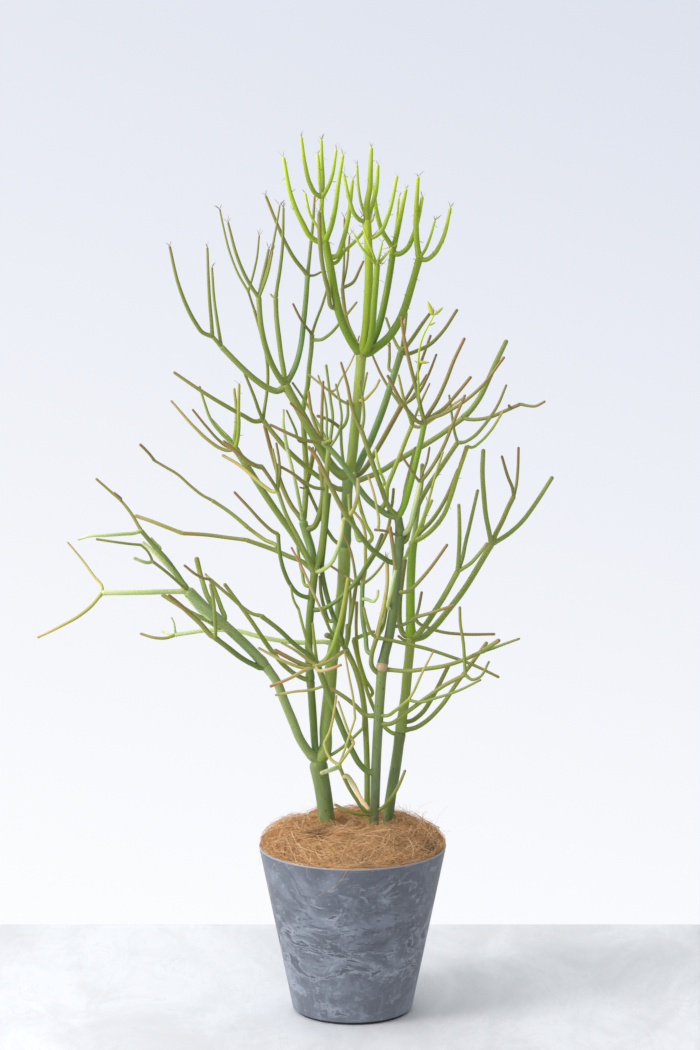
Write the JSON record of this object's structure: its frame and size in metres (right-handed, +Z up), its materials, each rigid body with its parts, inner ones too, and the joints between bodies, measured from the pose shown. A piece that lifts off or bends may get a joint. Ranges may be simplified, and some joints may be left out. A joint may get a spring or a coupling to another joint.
{
  "type": "potted plant",
  "caption": "Tall pencil-stemmed euphorbia with rooted stems and a bushy crown of thin twigs, in a tapered marbled pot with a coir top dressing.",
  "frame": {"origin": "centre of the pot's underside, on the surface it stands on", "axes": "+Z up, +X to the right and +Y to the back as seen from the front"},
  "size_m": [0.7049, 0.3026, 1.2256],
  "materials": {
    "pot": "satin, cloudy marbled slate grey",
    "soil": "matte, dark loose potting soil",
    "coir": "matte, golden-brown coconut fibre",
    "bark": "satin, smooth green succulent bark",
    "leaf": "satin, soft yellow-green leaf"
  },
  "bodies": {
    "root": {"coir_mat": "coir", "leaf_tuft_01": "leaf", "leaf_tuft_02": "leaf", "leaf_tuft_03": "leaf", "leaf_tuft_04": "leaf", "leaf_tuft_05": "leaf", "leaf_tuft_06": "leaf", "leaf_tuft_07": "leaf", "leaf_tuft_08": "leaf", "leaf_tuft_09": "leaf", "leaf_tuft_10": "leaf", "leaf_tuft_11": "leaf", "leaf_tuft_12": "leaf", "leaf_tuft_13": "leaf", "leaf_tuft_14": "leaf", "leaf_tuft_15": "leaf", "leaf_tuft_16": "leaf", "leaf_tuft_17": "leaf", "leaf_tuft_18": "leaf", "leaf_tuft_19": "leaf", "leaf_tuft_20": "leaf", "leaf_tuft_21": "leaf", "leaf_tuft_22": "leaf", "leaf_tuft_23": "leaf", "leaf_tuft_24": "leaf", "leaf_tuft_25": "leaf", "leaf_tuft_26": "leaf", "leaf_tuft_27": "leaf", "leaf_tuft_28": "leaf", "leaf_tuft_29": "leaf", "leaf_tuft_30": "leaf", "leaf_tuft_31": "leaf", "leaf_tuft_32": "leaf", "leaf_tuft_33": "leaf", "leaf_tuft_34": "leaf", "leaf_tuft_35": "leaf", "leaf_tuft_36": "leaf", "leaf_tuft_37": "leaf", "leaf_tuft_38": "leaf", "pot": "pot", "soil": "soil", "stem_back": "bark", "stem_left": "bark", "stem_middle": "bark", "stem_right": "bark"}
  },
  "joints": []
}
